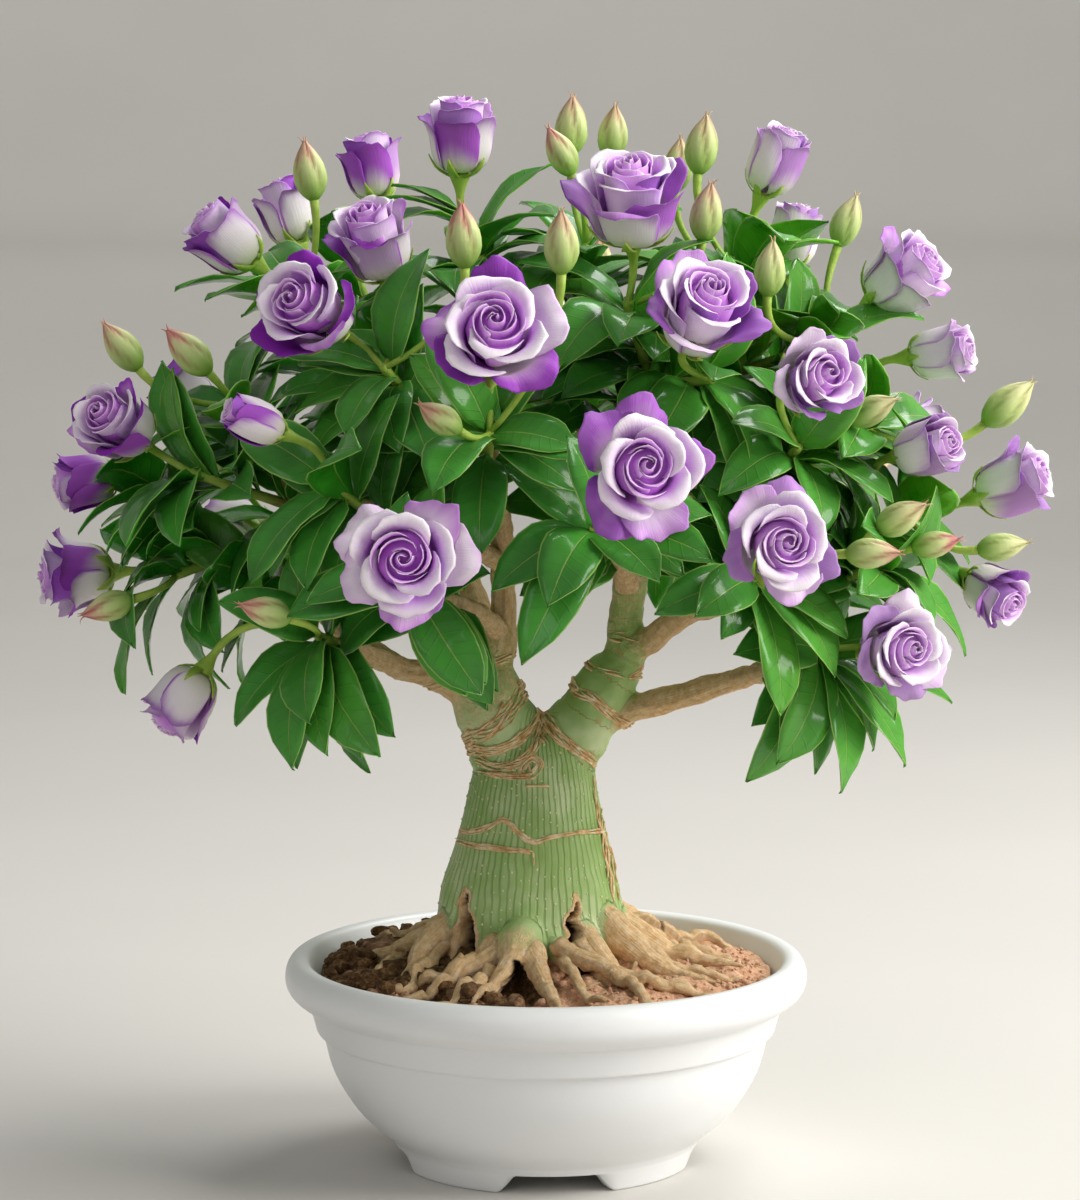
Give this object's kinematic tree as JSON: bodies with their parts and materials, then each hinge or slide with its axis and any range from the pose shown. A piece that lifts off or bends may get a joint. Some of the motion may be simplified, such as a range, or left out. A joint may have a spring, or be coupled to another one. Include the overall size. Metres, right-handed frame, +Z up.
{
  "type": "desert rose bonsai",
  "caption": "Desert rose bonsai with a swollen green trunk, spreading roots, glossy leaves, buds and lilac double blooms, growing in a round white footed bowl.",
  "frame": {"origin": "the point on the ground under the middle of the bowl's four feet", "axes": "+Z up, +X to the right as seen from the front of the picture, +Y away from the viewer"},
  "size_m": [0.4367, 0.3659, 0.4675],
  "materials": {
    "bowl": "gloss",
    "soil": "matte",
    "bark": "matte",
    "foliage": "satin",
    "petals": "satin"
  },
  "bodies": {
    "root": {"pot": "bowl", "soil": "soil", "trunk": "bark", "spray_01": "foliage", "spray_02": "foliage", "spray_03": "foliage", "spray_04": "foliage", "spray_05": "foliage", "spray_06": "foliage", "spray_07": "foliage", "spray_08": "foliage", "spray_09": "foliage", "spray_10": "foliage", "spray_11": "foliage", "spray_12": "foliage", "spray_13": "foliage", "spray_14": "foliage", "spray_15": "foliage", "spray_16": "foliage", "spray_17": "foliage", "spray_18": "foliage", "spray_19": "foliage", "spray_20": "foliage", "spray_21": "foliage", "spray_22": "foliage", "spray_23": "foliage", "spray_24": "foliage", "bloom_01": "petals", "bloom_02": "petals", "bloom_03": "petals", "bloom_04": "petals", "bloom_05": "petals", "bloom_06": "petals", "bloom_07": "petals", "bloom_08": "petals", "bloom_09": "petals", "bloom_10": "petals", "bloom_11": "petals", "bloom_12": "petals", "bloom_13": "petals", "bloom_14": "petals", "bloom_15": "petals", "bloom_16": "petals", "bloom_17": "petals", "bloom_18": "petals", "bloom_19": "petals", "bloom_20": "petals", "bloom_21": "petals", "bloom_22": "petals", "bloom_23": "petals", "bloom_24": "petals", "bloom_25": "petals", "bloom_26": "petals", "bloom_27": "petals", "bloom_28": "petals", "bloom_29": "petals", "bloom_30": "petals", "bloom_31": "petals", "bloom_32": "petals", "bloom_33": "petals"}
  },
  "joints": []
}
